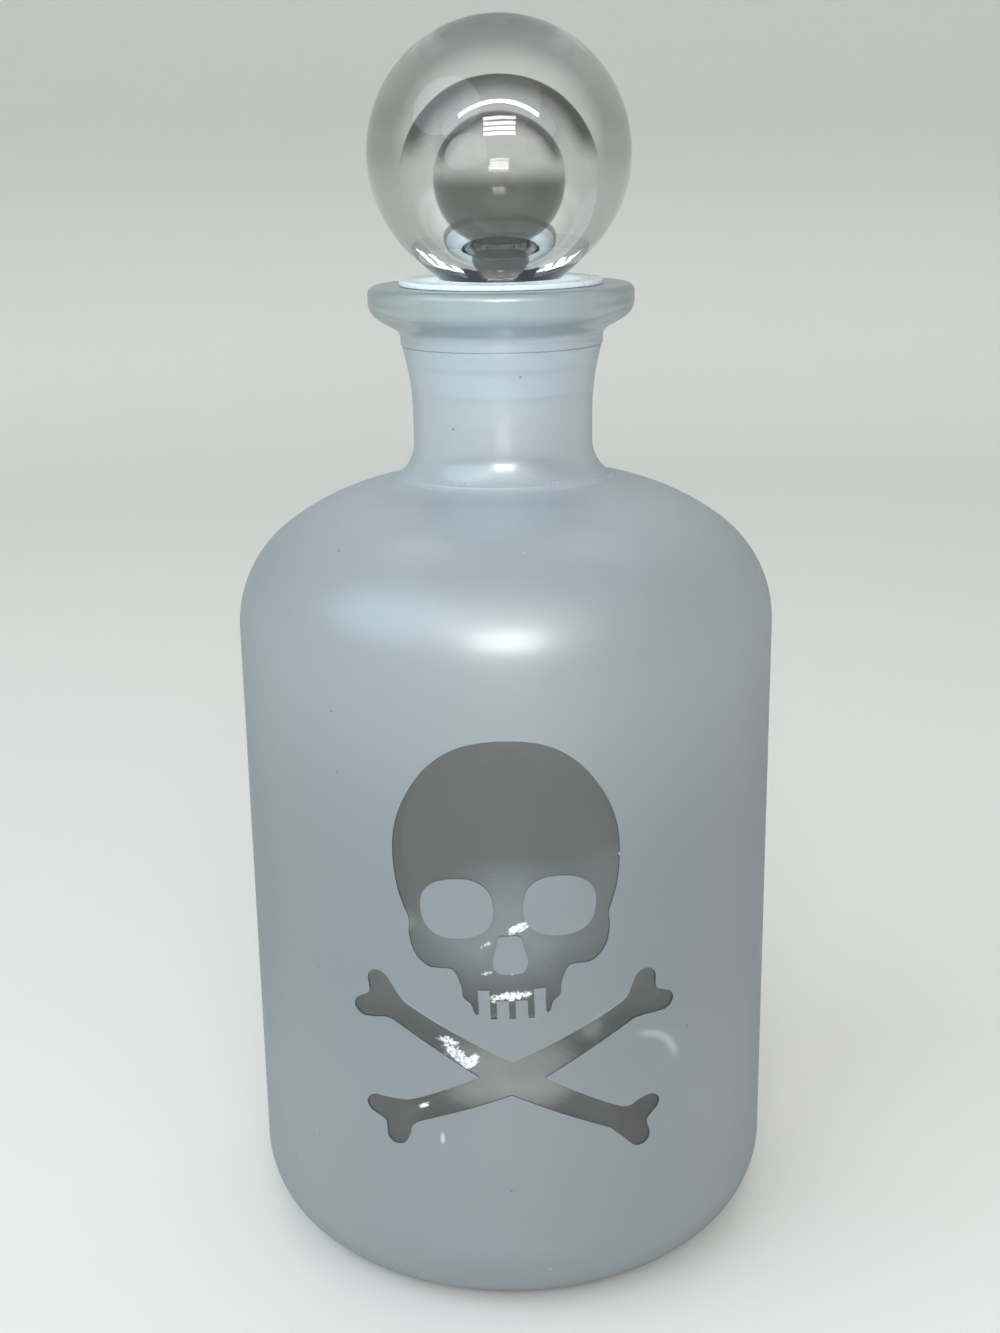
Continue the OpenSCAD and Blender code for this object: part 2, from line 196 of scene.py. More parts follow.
class DecanterFinish(bpy.types.PropertyGroup):
    frost: colour("Frost", "Colour of the satin coat", (0.405, 0.46, 0.505))
    # Painted shade: the coat is painted darker towards the heel.
    frost_low_shade: colour("Low frost", "Colour of the coat near the heel", (0.238, 0.277, 0.322))
    frost_lip: colour("Lip frost", "Colour of the coat over the thick lip", (0.315, 0.40, 0.37))
    frost_neck: colour("Neck frost", "Colour of the coat on the neck", (0.56, 0.64, 0.70))
    # Painted light: the pale colour on the clear glass in the figure's lower face.
    window_light: colour("Film", "Colour of the thin film of spray inside the figure", (0.38, 0.45, 0.46))
    # Painted light where the bones cross.
    glow: colour("Crossing film", "Colour of the film where the bones cross", (0.55, 0.54, 0.53))
    glass: colour("Glass", "Tint of the bottle's glass", (0.665, 0.66, 0.65))
    ball_glass: colour("Ball glass", "Tint of the stopper's glass", (0.93, 0.93, 0.92))
    # Painted shade at the stopper's edges, darker towards its top.
    ball_edge_shade: colour("Ball edge", "Tint of the stopper's glass at its edges", (0.2, 0.2, 0.195))
    # Painted shade in the bubble's lower half.
    bubble_shade: colour("Smoke", "Tint of the bubble's lower half", (0.13, 0.13, 0.12))
    # Painted shade along the bubble's upper rim.
    rim_shade: colour("Bubble rim", "Tint of the bubble's upper rim", (0.05, 0.05, 0.045))
    sleeve: colour("Sleeve", "Colour of the plastic sleeve", (0.86, 0.95, 1.0))
    floor: colour("Floor", "Colour of the pale floor", (0.80, 0.795, 0.77))


class DecanterStage(bpy.types.PropertyGroup):
    lens: FloatProperty(
        name="Lens", description="Focal length of the camera", default=47.315, unit="CAMERA"
    )
    pan: angle("Pan", "Turn of the camera to the left", 0.22)
    pitch: angle("Pitch", "Downward pitch of the camera", 16.29)
    roll: angle("Roll", "Roll of the camera", -0.9)
    floor_r: length("Floor radius", "Radius of the flat floor", 900)
    cove_r: length("Cove radius", "Radius of the curve from floor to wall", 420)
    wall_h: length("Wall height", "Height of the wall above the curve", 900)


class DecanterSettings(bpy.types.PropertyGroup):
    bottle: PointerProperty(type=DecanterBottle)
    figure: PointerProperty(type=DecanterFigure)
    sleeve: PointerProperty(type=DecanterSleeve)
    stopper: PointerProperty(type=DecanterStopper)
    finish: PointerProperty(type=DecanterFinish)
    stage: PointerProperty(type=DecanterStage)


# Shapes


def direction(turn):
    return Vector((math.cos(turn), math.sin(turn)))


def bottle_values(b):
    """Works out the centres and radii of the bottle's section from its sizes."""
    v = SimpleNamespace()
    v.body_r, v.neck_r, v.lip_r = b.body_d / 2, b.neck_d / 2, b.lip_d / 2
    v.wall_top = b.height - b.wall_drop
    v.corner_c = Vector((v.body_r - b.corner_r, v.wall_top))
    v.crown_c = v.corner_c - (b.crown_r - b.corner_r) * direction(b.corner_sweep)
    fillet_x = v.neck_r + b.neck_fillet_r
    lift = math.sqrt((b.crown_r + b.neck_fillet_r) ** 2 - (fillet_x - v.crown_c.x) ** 2)
    v.fillet_c = Vector((fillet_x, v.crown_c.y + lift))
    v.fillet_turn = math.atan2(lift, fillet_x - v.crown_c.x)
    v.flare_top = b.height - b.ring_drop
    v.flare_start = v.flare_top - b.flare_h
    v.flare_c = Vector((v.neck_r + b.flare_r, v.flare_start))
    v.ring_r = v.flare_c.x - math.sqrt(b.flare_r**2 - b.flare_h**2) + b.ring_proud
    v.lip_c = Vector((v.lip_r - b.lip_under_r, b.height - b.lip_widest_drop))
    v.slope = b.lip_slope - math.pi / 2
    v.slope_start = v.lip_c + b.lip_under_r * direction(v.slope)
    x = v.ring_r + b.lip_fillet_r
    rise = math.tan(b.lip_slope) * (x - v.slope_start.x) - b.lip_fillet_r / math.cos(b.lip_slope)
    v.lip_fillet_c = Vector((x, v.slope_start.y + rise))
    v.edge_c = Vector((v.lip_r - b.lip_edge_r, b.height - b.lip_edge_r))
    v.heel_c = Vector((v.body_r - b.heel_r, b.heel_r))
    v.punt_ball_r = (b.punt_r**2 + b.punt_h**2) / (2 * b.punt_h)
    v.punt_c = Vector((0, b.punt_h - v.punt_ball_r))
    v.mouth_r = bore_radius(b, v, v.flare_top)
    return v


def bore_radius(b, v, z):
    """Inner radius of the neck at a height."""
    rise = min(z, v.flare_top) - v.flare_start
    if rise <= 0:
        return v.neck_r - b.wall
    return v.flare_c.x - math.sqrt((b.flare_r + b.wall) ** 2 - rise**2)


class Pen:
    """Draws a half section in the XZ plane by extruding and spinning its last point."""

    def __init__(self, x, z):
        self.bm = bmesh.new()
        self.start(x, z)

    def start(self, x, z):
        self.tip = bmesh.ops.create_vert(self.bm, co=(x, 0, z))["vert"][0]
        return self

    def line(self, x, z, step=None):
        start = self.tip.co.copy()
        way = Vector((x, 0, z)) - start
        steps = max(1, round(way.length / step)) if step else 1
        for i in range(steps):
            self.tip = bmesh.ops.extrude_vert_indiv(self.bm, verts=[self.tip])["verts"][0]
            self.tip.co = start + way * (i + 1) / steps
        return self

    def arc(self, centre, turn, step=ARC_STEP):
        spun = bmesh.ops.spin(
            self.bm,
            geom=[self.tip],
            cent=(centre[0], 0, centre[1]),
            axis=(0, -1, 0),
            angle=turn,
            steps=max(2, math.ceil(abs(turn) / step)),
        )
        self.tip = next(g for g in spun["geom_last"] if isinstance(g, bmesh.types.BMVert))
        return self

    def to_axis(self):
        self.tip.co.x = 0
        return self

    def revolve(self, closed=True):
        bmesh.ops.spin(
            self.bm,
            geom=self.bm.verts[:] + self.bm.edges[:],
            cent=(0, 0, 0),
            axis=(0, 0, 1),
            angle=2 * math.pi,
            steps=COLUMNS,
            use_merge=True,
        )
        bmesh.ops.remove_doubles(self.bm, verts=self.bm.verts, dist=1e-7)
        bmesh.ops.recalc_face_normals(self.bm, faces=self.bm.faces)
        if closed and any(not e.is_manifold for e in self.bm.edges):
            raise RuntimeError("a turned piece isn't closed")
        return self.bm


def draw_outside(pen, b, v, depth):
    """From the heel's top up the outside, over the lip to the edge of the mouth.

    The mould line is raised in the coat alone, and the glass is smooth under it.
    """
    bead_h = 0 if depth else b.bead_h
    for z in panel_rows(v):
        pen.line(v.body_r - depth, z)
    pen.line(v.body_r - depth, v.wall_top)
    pen.arc(v.corner_c, b.corner_sweep)
    pen.arc(v.crown_c, v.fillet_turn - b.corner_sweep)
    pen.arc(v.fillet_c, -b.bead_turn)
    for i in range(1, BEAD_STEPS):
        turn = math.pi + v.fillet_turn - b.bead_turn - i / BEAD_STEPS * b.bead_w / b.neck_fillet_r
        rise = bead_h * math.sin(math.pi * i / BEAD_STEPS) ** 2
        point = v.fillet_c + (b.neck_fillet_r + depth - rise) * direction(turn)
        pen.line(point.x, point.y)
    turn = math.pi + v.fillet_turn - b.bead_turn - b.bead_w / b.neck_fillet_r
    point = v.fillet_c + (b.neck_fillet_r + depth) * direction(turn)
    pen.line(point.x, point.y)
    pen.arc(v.fillet_c, math.pi - turn)
    pen.line(v.neck_r - depth, v.flare_start, 2.5 * MM)
    flare_turn = math.asin(b.flare_h / (b.flare_r + depth))
    groove_turn = b.groove_w / b.flare_r
    pen.arc(v.flare_c, groove_turn - flare_turn, math.radians(1))
    low = v.flare_c + (b.flare_r + depth + b.groove_h) * direction(
        math.pi - flare_turn + groove_turn / 2
    )
    pen.line(low.x, low.y)
    pen.line(v.ring_r - depth, v.flare_top)
    pen.line(v.ring_r - depth, v.lip_fillet_c.y)
    pen.arc(v.lip_fillet_c, v.slope, math.radians(8))
    start = v.slope_start - depth * direction(v.slope)
    pen.line(start.x, start.y)
    pen.arc(v.lip_c, -v.slope, math.radians(4))
    pen.line(v.lip_r - depth, v.edge_c.y)
    pen.arc(v.edge_c, math.pi / 2, math.radians(6))
    pen.line(v.mouth_r + b.mouth_edge_r, b.height - depth, 3 * MM)


def panel_rows(v):
    """Heights of the rows that the front panel shares with the rest of the wall."""
    low, high, rows = 29 * MM, 122 * MM, 31
    return [low + (high - low) * i / rows for i in range(rows + 1)]


def glass_shell(b, v):
    """The closed glass wall: up the outside, over the lip and down the inside."""
    pen = Pen(0, b.punt_h)
    pen.arc(v.punt_c, -math.asin(b.punt_r / v.punt_ball_r), math.radians(1))
    pen.line(v.heel_c.x - b.coat, 0)
    pen.line(v.heel_c.x, b.coat)
    pen.arc(v.heel_c, math.pi / 2)
    draw_outside(pen, b, v, b.coat)
    mouth_c = (v.mouth_r + b.mouth_edge_r, b.height - b.coat - b.mouth_edge_r)
    pen.arc(mouth_c, math.pi / 2, math.radians(8))
    pen.line(v.mouth_r, v.flare_top)
    pen.arc(v.flare_c, math.asin(b.flare_h / (b.flare_r + b.wall)), math.radians(1))
    pen.line(v.neck_r - b.wall, v.fillet_c.y)
    pen.arc(v.fillet_c, v.fillet_turn)
    pen.arc(v.crown_c, b.corner_sweep - v.fillet_turn)
    pen.arc(v.corner_c, -b.corner_sweep)
    pen.line(v.body_r - b.wall, b.base + b.inner_heel_r, 3 * MM)
    pen.arc((v.body_r - b.wall - b.inner_heel_r, b.base + b.inner_heel_r), -math.pi / 2)
    floor_r = v.punt_ball_r + b.base
    rise = b.base - v.punt_c.y
    pen.line(math.sqrt(floor_r**2 - rise**2), b.base)
    pen.arc(v.punt_c, math.pi / 2 - math.asin(rise / floor_r), math.radians(1))
    pen.to_axis()
    return pen.revolve()


# Clear figure, in millimetres as it is seen from straight in front

SKULL_SHARES = [
    (0, 1), (0.38, 0.977), (0.657, 0.906), (0.855, 0.8), (0.968, 0.69), (1, 0.58),
    (0.978, 0.465), (0.93, 0.394), (0.888, 0.345), (0.893, 0.29), (0.85, 0.22),
    (0.73, 0.172), (0.545, 0.168), (0.484, 0.145), (0.445, 0.1), (0.434, 0.062),
    (0.366, 0.035), (0.34, 0.003), (0.302, 0.003),
]  # fmt: skip
NOSE_SHARES = [(0, 1), (0.6, 0.97), (0.8, 0.7), (1, 0.32), (0.82, 0.07), (0.4, 0), (0, 0)]
KNUCKLE_SHARES = [
    (-1, 0.43), (-0.62, 0.52), (-0.36, 0.78), (-0.1, 1), (0.13, 0.88), (0.18, 0.54), (0.02, 0.1),
]  # fmt: skip
ARM_TURNS = (149.8, 28, 203.6, -27.8)
ARM_REACH_SHARES = (1, 1.015, 0.88, 0.935)
END_TURNS = (6, 4, 11, 12)
CROSSING_SHARE = 1.35
SHAFT_START_SHARE = 0.24
PIVOT_SHARE = 0.5
EYE_POWER = 2.4
CURVE_STEPS = 5


def smooth(points):
    """Closed smooth curve through points. A point given twice is a sharp corner."""
    out = []
    for i, b in enumerate(points):
        a, c = points[i - 1], points[(i + 1) % len(points)]
        d = points[(i + 2) % len(points)]
        if b == c:
            continue
        for s in range(CURVE_STEPS):
            t = s / CURVE_STEPS
            out.append(
                b
                + (
                    t * (c - a)
                    + t * t * (2 * a - 5 * b + 4 * c - d)
                    + t * t * t * (3 * b - a - 3 * c + d)
                )
                / 2
            )
    return out


def mirrored(points):
    return [Vector((-p.x, p.y)) for p in reversed(points)]


def turned(points, turn, lift=0.0, pivot=Vector((0, 0))):
    turn = Matrix.Rotation(turn, 2)
    return [turn @ (p - pivot) + pivot + Vector((0, lift)) for p in points]


def skull_outline(f):
    """Skull with its jaw's clear bars between the frosted teeth."""
    half = [Vector((x * f.skull_w / 2, y * f.skull_h)) for x, y in SKULL_SHARES]
    corner = Vector((half[-1].x, f.outer_tooth_h))
    side = half[1:]
    curve = smooth([half[0], *side, corner, corner, *mirrored([*side, corner, corner])])
    split = curve.index(next(p for p in curve if (p - corner).length < 1e-9))
    bar, low = f.tooth_gap / 2, -f.tooth_drop
    teeth = [
        Vector((f.tooth_pitch + bar, f.outer_tooth_h)),
        Vector((f.tooth_pitch + bar, low)),
        Vector((f.tooth_pitch - bar, low)),
        Vector((f.tooth_pitch - bar, f.inner_tooth_h)),
        Vector((bar, f.inner_tooth_h)),
        Vector((bar, low)),
    ]
    jaw_end = next(
        i for i, p in enumerate(curve) if i > split and (p - mirrored([corner])[0]).length < 1e-9
    )
    return curve[: split + 1] + teeth + mirrored(teeth) + curve[jaw_end:]


def eye_outline(f, side):
    points = []
    for i in range(64):
        c, s = math.cos(math.tau * i / 64), math.sin(math.tau * i / 64)
        points.append(
            Vector(
                (
                    math.copysign(abs(c) ** (2 / EYE_POWER), c) * f.eye_w / 2,
                    math.copysign(abs(s) ** (2 / EYE_POWER), s) * f.eye_h / 2,
                )
            )
        )
    moved = turned(points, -side * f.eye_tilt, f.eye_rise)
    return [p + Vector((side * f.eye_spread / 2, 0)) for p in moved]


def nose_outline(f):
    half = [Vector((x * f.nose_w / 2, y * f.nose_h)) for x, y in NOSE_SHARES]
    side = half[1:-1]
    outline = smooth([half[0], *side, half[-1], *mirrored(side)])
    return [p + Vector((0, f.nose_rise)) for p in outline]


def bone_outline(f, reach, end_turn):
    """Half of one bone, from the crossing to its two knuckles."""
    half_w = f.bone_w / 2
    pivot = Vector((reach - PIVOT_SHARE * f.knuckle_len, 0))
    start = Vector((0, half_w * CROSSING_SHARE))
    neck = Vector((reach * SHAFT_START_SHARE, half_w * (1 + CROSSING_SHARE) / 2))
    end = [Vector((reach + x * f.knuckle_len, y * f.knuckle_w / 2)) for x, y in KNUCKLE_SHARES]
    side = [start, start, neck, *end]
    points = side + [Vector((p.x, -p.y)) for p in reversed(side)]
    return smooth([turned([p], end_turn, 0, pivot)[0] if p.x > pivot.x else p for p in points])


def figure_outlines(f, v):
    """Outlines of the clear parts, and of the coat's islands in them."""
    base = v.wall_top - f.drop - f.skull_h
    crossing = base - f.skull_rise
    pivot = Vector((0, f.nose_rise))
    clear = [turned(skull_outline(f), f.skull_lean, base, pivot)]
    for turn, reach, end in zip(ARM_TURNS, ARM_REACH_SHARES, END_TURNS):
        bone = bone_outline(f, f.bone_reach * reach, math.radians(end))
        clear.append(turned(bone, math.radians(turn), crossing))
    islands = [eye_outline(f, -1), eye_outline(f, 1), nose_outline(f)]
    return clear, [turned(i, f.skull_lean, base, pivot) for i in islands]


def coat_shell(b, f, v):
    """The coat over the whole outside, with the figure left clear in its front."""
    foot = math.asin((b.coat_foot - v.heel_c.y) / b.heel_r)
    pen = Pen(v.heel_c.x + b.heel_r * math.cos(foot), b.coat_foot)
    pen.arc(v.heel_c, -foot)
    draw_outside(pen, b, v, 0)
    bm = pen.revolve(closed=False)
    rows = panel_rows(v)
    step = math.tau / COLUMNS
    reach = 20
    front = []
    for face in bm.faces:
        c = face.calc_center_median()
        turn = math.atan2(c.x, -c.y)
        if abs(turn) < reach * step and rows[0] < c.z < rows[-1]:
            front.append(face)
    bmesh.ops.delete(bm, geom=front, context="FACES")

    # The panel is cut flat, with one unit to a millimetre, and then bent round the body.
    unroll = v.body_r / MM
    points, edges, faces = [], [], []

    def add(p):
        points.append(p)
        return len(points) - 1

    low, high = rows[0] / MM, rows[-1] / MM
    for i in range(-reach, reach + 1):
        s = i * step * unroll
        edges.append((add(Vector((s, low))), add(Vector((s, high)))))
    for z in rows:
        s = reach * step * unroll
        edges.append((add(Vector((-s, z / MM))), add(Vector((s, z / MM)))))
    clear, islands = figure_outlines(f, v)
    for outline in clear + islands:
        bent = [Vector((math.asin(p.x / v.body_r) * unroll, p.y / MM)) for p in outline]
        area = sum(a.cross(b) for a, b in zip(bent, bent[1:] + bent[:1]))
        faces.append([add(p) for p in (bent if area > 0 else reversed(bent))])
    out = delaunay_2d_cdt(points, edges, faces, 0, 1e-4)
    panel = bmesh.new()
    made = []
    for p in out[0]:
        turn = p.x / unroll
        made.append(
            panel.verts.new((v.body_r * math.sin(turn), -v.body_r * math.cos(turn), p.y * MM))
        )
    for triangle, inside in zip(out[2], out[5]):
        if not inside or max(inside) >= len(clear):
            panel.faces.new([made[i] for i in triangle])
    bmesh.ops.delete(panel, geom=[p for p in panel.verts if not p.link_faces], context="VERTS")
    bmesh.ops.join_triangles(
        panel,
        faces=panel.faces,
        angle_face_threshold=math.radians(1.5),
        angle_shape_threshold=math.radians(3),
    )
    part = bpy.data.meshes.new("panel")
    panel.to_mesh(part)
    panel.free()
    bm.from_mesh(part)
    bpy.data.meshes.remove(part)
    bmesh.ops.remove_doubles(bm, verts=bm.verts, dist=2e-6)
    for face in bm.faces:
        face.normal_update()
        c = face.calc_center_median()
        out_way = Vector((c.x, c.y, 0))
        if rows[0] < c.z < rows[-1] and face.normal.dot(out_way) < 0:
            face.normal_flip()
    outer = set(bm.faces)
    bmesh.ops.solidify(bm, geom=bm.faces[:], thickness=b.coat - b.coat_gap)
    for face in bm.faces:
        if face not in outer:
            face.material_index = 1
    return bm


def sleeve_shell(b, v, s, t):
    """The sleeve's closed section: flange, wall and fins."""
    flange_top = b.height + s.flange_t
    end = b.height - s.depth
    top_r = t.plug_d / 2 + s.fit
    end_r = top_r - (t.plug_taper / 2) / t.plug_len * (flange_top - end)
    wall = s.wall

    def wall_r(z):
        share = (z - end) / (b.height - end)
        return end_r + wall + (top_r - end_r) * share

    pen = Pen(end_r, end)
    first = pen.tip
    pen.line(end_r + wall, end)
    for i in range(s.fins):
        z = end + s.fin_start + i * s.fin_pitch
        edge = bore_radius(b, v, z - s.fin_edge / 2) - s.fit
        pen.line(wall_r(z - s.fin_root / 2), z - s.fin_root / 2)
        pen.line(edge, z - s.fin_edge / 2)
        pen.line(edge, z + s.fin_edge / 2)
        pen.line(wall_r(z + s.fin_root / 2), z + s.fin_root / 2)
    pen.line(top_r + wall, b.height + s.seat)
    pen.line(s.flange_d / 2, b.height + s.seat)
    pen.line(s.flange_d / 2, flange_top)
    pen.line(top_r, flange_top)
    pen.bm.edges.new((pen.tip, first))
    bmesh.ops.bevel(
        pen.bm,
        geom=pen.bm.verts[:],
        offset=s.round_r,
        offset_type="OFFSET",
        segments=3,
        profile=0.5,
        affect="VERTICES",
        material=-1,
        clamp_overlap=True,
    )
    return pen.revolve()


def stopper_shell(b, s, t):
    """Ball, foot and plug, and the sealed bubble whose faces look into it."""
    flange_top = b.height + s.flange_t
    foot_z = flange_top + t.foot_gap
    ball_r, foot_r, plug_r = t.ball_d / 2, t.foot_d / 2, t.plug_d / 2
    tip_r = plug_r - t.plug_taper / 2
    ball_c = Vector((0, flange_top + t.rise))
    end = foot_z - t.plug_len
    to_foot = Vector((foot_r, foot_z)) - ball_c
    foot_turn = math.atan2(to_foot.y, foot_r) + math.acos(ball_r / to_foot.length)
    pen = Pen(0, end)
    pen.line(tip_r - t.tip_edge_r, end, 1.5 * MM)
    pen.arc((tip_r - t.tip_edge_r, end + t.tip_edge_r), math.pi / 2, math.radians(8))
    pen.line(plug_r, foot_z, 2 * MM)
    pen.line(foot_r, foot_z)
    touch = ball_c + ball_r * direction(foot_turn)
    pen.line(touch.x, touch.y, 1 * MM)
    pen.arc(ball_c, math.pi / 2 - foot_turn, math.radians(1.5))
    pen.to_axis()
    bm = pen.revolve()

    bubble_c = ball_c - Vector((0, t.bubble_drop))
    stem_r, bubble_r = t.stem_d / 2, t.bubble_d / 2
    stem_x = stem_r + t.stem_fillet_r
    fall = math.sqrt((bubble_r + t.stem_fillet_r) ** 2 - stem_x**2)
    turn = math.atan2(fall, stem_x)
    stem_end = flange_top - t.stem_depth
    pen = Pen(0, stem_end)
    pen.arc((0, stem_end + stem_r), math.pi / 2, math.radians(4))
    pen.line(stem_r, bubble_c.y - fall, 1 * MM)
    pen.arc((stem_x, bubble_c.y - fall), -turn, math.radians(3))
    pen.arc(bubble_c, math.pi / 2 + turn, math.radians(2))
    pen.to_axis()
    bubble = pen.revolve()
    bmesh.ops.reverse_faces(bubble, faces=bubble.faces)
    part = bpy.data.meshes.new("bubble")
    bubble.to_mesh(part)
    bubble.free()
    bm.from_mesh(part)
    bpy.data.meshes.remove(part)
    return bm


# Materials


class Value:
    """A socket's number, on which Python's operators add Math nodes."""

    def __init__(self, paint, socket):
        self.paint = paint
        self.socket = socket

    def math(self, operation, other):
        return self.paint.node(
            "ShaderNodeMath", {"operation": operation}, **{"0": self, "1": other}
        )[0]

    def __add__(self, other):
        return self.math("ADD", other)

    __radd__ = __add__

    def __mul__(self, other):
        return self.math("MULTIPLY", other)

    __rmul__ = __mul__

    def __sub__(self, other):
        return self.math("SUBTRACT", other)

    def __rsub__(self, other):
        return (self * -1) + other

    def __truediv__(self, other):
        return self.math("DIVIDE", other)

    def __pow__(self, other):
        return self.math("POWER", other)

    def step(self, low, high):
        """0 below low and 1 above high, or the other way round where low is the larger."""
        node = self.paint.node(
            "ShaderNodeMapRange",
            {"interpolation_type": "SMOOTHSTEP", "clamp": True},
            **{"Value": self, "From Min": low, "From Max": high},
        )
        return node[0]


def shade(values, strength):
    """A colour made lighter or darker."""
    return tuple(strength * k for k in values)


class Paint:
    """A material's node tree, with one method that adds any node."""

    def __init__(self, name):
        self.material = bpy.data.materials.new(name)
        self.material.use_nodes = True
        self.tree = self.material.node_tree
        self.tree.nodes.clear()
        self.out = self.tree.nodes.new("ShaderNodeOutputMaterial")

    def node(self, kind, settings=None, **inputs):
        node = self.tree.nodes.new(kind)
        for name, value in (settings or {}).items():
            setattr(node, name, value)
        for name, value in inputs.items():
            socket = node.inputs[int(name)] if name.isdigit() else node.inputs[name]
            if isinstance(value, Value):
                self.tree.links.new(value.socket, socket)
            elif socket.type == "RGBA" and len(value) == 3:
                socket.default_value = (*value, 1)
            else:
                socket.default_value = value
        return [Value(self, s) for s in node.outputs]

    def place(self):
        """Position on the piece in millimetres, as a vector and as its three numbers."""
        where = self.node("ShaderNodeTexCoord")[3]
        scaled = self.node("ShaderNodeVectorMath", {"operation": "SCALE"}, **{"0": where})
        scaled[0].socket.node.inputs["Scale"].default_value = 1 / MM
        return scaled[0], self.node("ShaderNodeSeparateXYZ", **{"0": scaled[0]})

    def noise(self, where, scale, detail=2.0, roughness=0.5):
        """Soft noise about 0.5, whose grains are the given size in millimetres."""
        return self.node(
            "ShaderNodeTexNoise",
            **{"Vector": where, "Scale": 1 / scale, "Detail": detail, "Roughness": roughness},
        )[0]

    def dots(self, where, spacing, radius, offset=(0, 0, 0)):
        """Small round spots, further apart than their size, as a mask."""
        moved = self.node(
            "ShaderNodeVectorMath", {"operation": "ADD"}, **{"0": where, "1": offset}
        )[0]
        distance = self.node(
            "ShaderNodeTexVoronoi", **{"Vector": moved, "Scale": 1 / spacing}
        )[0]
        return distance.step(radius / spacing, 0.6 * radius / spacing)

    def spot(self, x, z, centre, size, lean=0):
        """A soft oval spot, 1 in its middle, by its centre and half sizes in millimetres."""
        c, s = math.cos(math.radians(lean)), math.sin(math.radians(lean))
        across = ((x - centre[0]) * c + (z - centre[1]) * s) / size[0]
        up = ((z - centre[1]) * c - (x - centre[0]) * s) / size[1]
        return (across * across + up * up).step(1, 0)

    def blend(self, factor, a, b):
        """Mixes two shaders."""
        return self.node("ShaderNodeMixShader", **{"0": factor, "1": a, "2": b})[0]

    def mix(self, factor, a, b):
        """Mixes two colours."""
        return self.node("ShaderNodeMix", {"data_type": "RGBA"}, **{"0": factor, "6": a, "7": b})[2]

    def bump(self, height, distance):
        return self.node("ShaderNodeBump", **{"Height": height, "Distance": distance})[0]

    def principled(self, **inputs):
        names = {name.replace("_", " "): value for name, value in inputs.items()}
        return self.node("ShaderNodeBsdfPrincipled", **names)[0]

    def finish(self, shader):
        self.tree.links.new(shader.socket, self.out.inputs["Surface"])
        return self.material


# Places on the coat and the glass are in millimetres. A pair of heights is where a change along
# the bottle starts and ends.
LOW_SHADE = (138, 86)
HEEL = (70, 35)
NECK_FOOT = (140, 158)
NECK = (150, 165)
LIP = (182, 188)
MOULD_LINE = ((155.15, 155.45), (156.6, 156.3))
PALE_STREAK = ((-13.1, 39.9), (0.55, 1.5))  # centre, half sizes
ARC_HIGHLIGHT = (23.5, 51.7, 7)  # centre and radius of the ring that it is part of


def frost_material(c):
    """Sprayed satin lacquer: soft clouds, dark pinholes, pale specks and a fine grain."""
    paint = Paint("frost_coat")
    where, (x, y, z) = paint.place()
    cloud = paint.noise(where, 45, 3)
    # Painted shade: the coat is painted darker down the lower body, a little less so at the heel.
    low = z.step(*LOW_SHADE) * (1 - z.step(*HEEL) * 0.35)
    neck = z.step(*NECK)
    lip = z.step(*LIP)
    seam = z.step(*MOULD_LINE[0]) * z.step(*MOULD_LINE[1])
    base = paint.mix(low * 0.9, c.frost, c.frost_low_shade)
    base = paint.mix(z.step(*NECK_FOOT), base, c.frost_neck)
    base = paint.mix(seam, base, shade(c.frost, 0.85))
    base = paint.mix(lip * 0.7, base, c.frost_lip)
    base = paint.mix((cloud - 0.5) * 0.9, base, shade(c.frost, 0.78))
    pinholes = paint.dots(where, 9, 0.33)
    specks = paint.dots(where, 11, 0.4, (31, 17, 5))
    front = y.step(-30, -40)
    # A small pale streak on the front, below the left lower bone.
    pale_streak = paint.spot(x, z, *PALE_STREAK) * front
    # Painted highlight: a faint curved one on the front, a short arc of a ring, at the lower right
    # of the figure.
    reach = ((x - ARC_HIGHLIGHT[0]) ** 2 + (z - ARC_HIGHLIGHT[1]) ** 2) ** 0.5
    arc_highlight = reach.step(ARC_HIGHLIGHT[2] - 1.4, ARC_HIGHLIGHT[2]) * reach.step(ARC_HIGHLIGHT[2] + 1.1, ARC_HIGHLIGHT[2])
    arc_highlight = arc_highlight * (x - ARC_HIGHLIGHT[0]).step(-1, 2) * (z - ARC_HIGHLIGHT[1]).step(-1, 2) * front
    base = paint.mix(pinholes * 0.75, base, (0.12, 0.13, 0.14))
    base = paint.mix(specks * 0.7 + pale_streak + arc_highlight * 0.5, base, (0.85, 0.9, 0.93))
    grain = paint.noise(where, 0.6, 2)
    ripple = paint.noise(where, 14, 2)
    rough = 0.4 + (cloud - 0.5) * 0.12 + (grain - 0.5) * 0.03
    height = grain * 0.06 + ripple * 4 - pinholes * 2
    normal = paint.bump(height, 0.00006)
    facing = paint.node("ShaderNodeLayerWeight", **{"Blend": 0.5})[1]
    satin = {
        "Coat_Weight": facing.step(0.95, 0.4),
        "Coat_Roughness": 0.43,
        "Coat_IOR": 1.9,
        "Normal": normal,
    }
    # The clear lobe's tint, with painted shade: darker down the lower body, and darker and greener
    # towards the grazing edges.
    veil_and_shade = paint.mix(low, (0.86, 0.92, 0.96), (0.65, 0.71, 0.76))
    veil_and_shade = paint.mix(facing.step(0.5, 0.95) * 0.7, veil_and_shade, (0.27, 0.33, 0.305))
    clear = paint.principled(
        Base_Color=paint.mix(pinholes * 0.75, veil_and_shade, (0.3, 0.32, 0.34)),
        Roughness=rough - 0.07 - neck * 0.18,
        Transmission_Weight=1.0,
        IOR=1.45,
        **satin,
    )
    pale = paint.principled(Base_Color=base, Roughness=rough, Specular_IOR_Level=0.1, **satin)
    return paint.finish(paint.blend(0.5 - neck * 0.12 + seam * 0.5, clear, pale))


def coat_inside_material():
    """The coat's inner face, which lies wet on the smooth glass."""
    paint = Paint("coat_inside")
    where, _ = paint.place()
    cloud = paint.noise(where, 20, 3)
    clear = paint.principled(
        Base_Color=paint.mix(cloud, (0.97, 0.985, 0.99), (0.93, 0.96, 0.97)),
        Roughness=0.06 + cloud * 0.06,
        Transmission_Weight=1.0,
        IOR=1.45,
    )
    return paint.finish(clear)
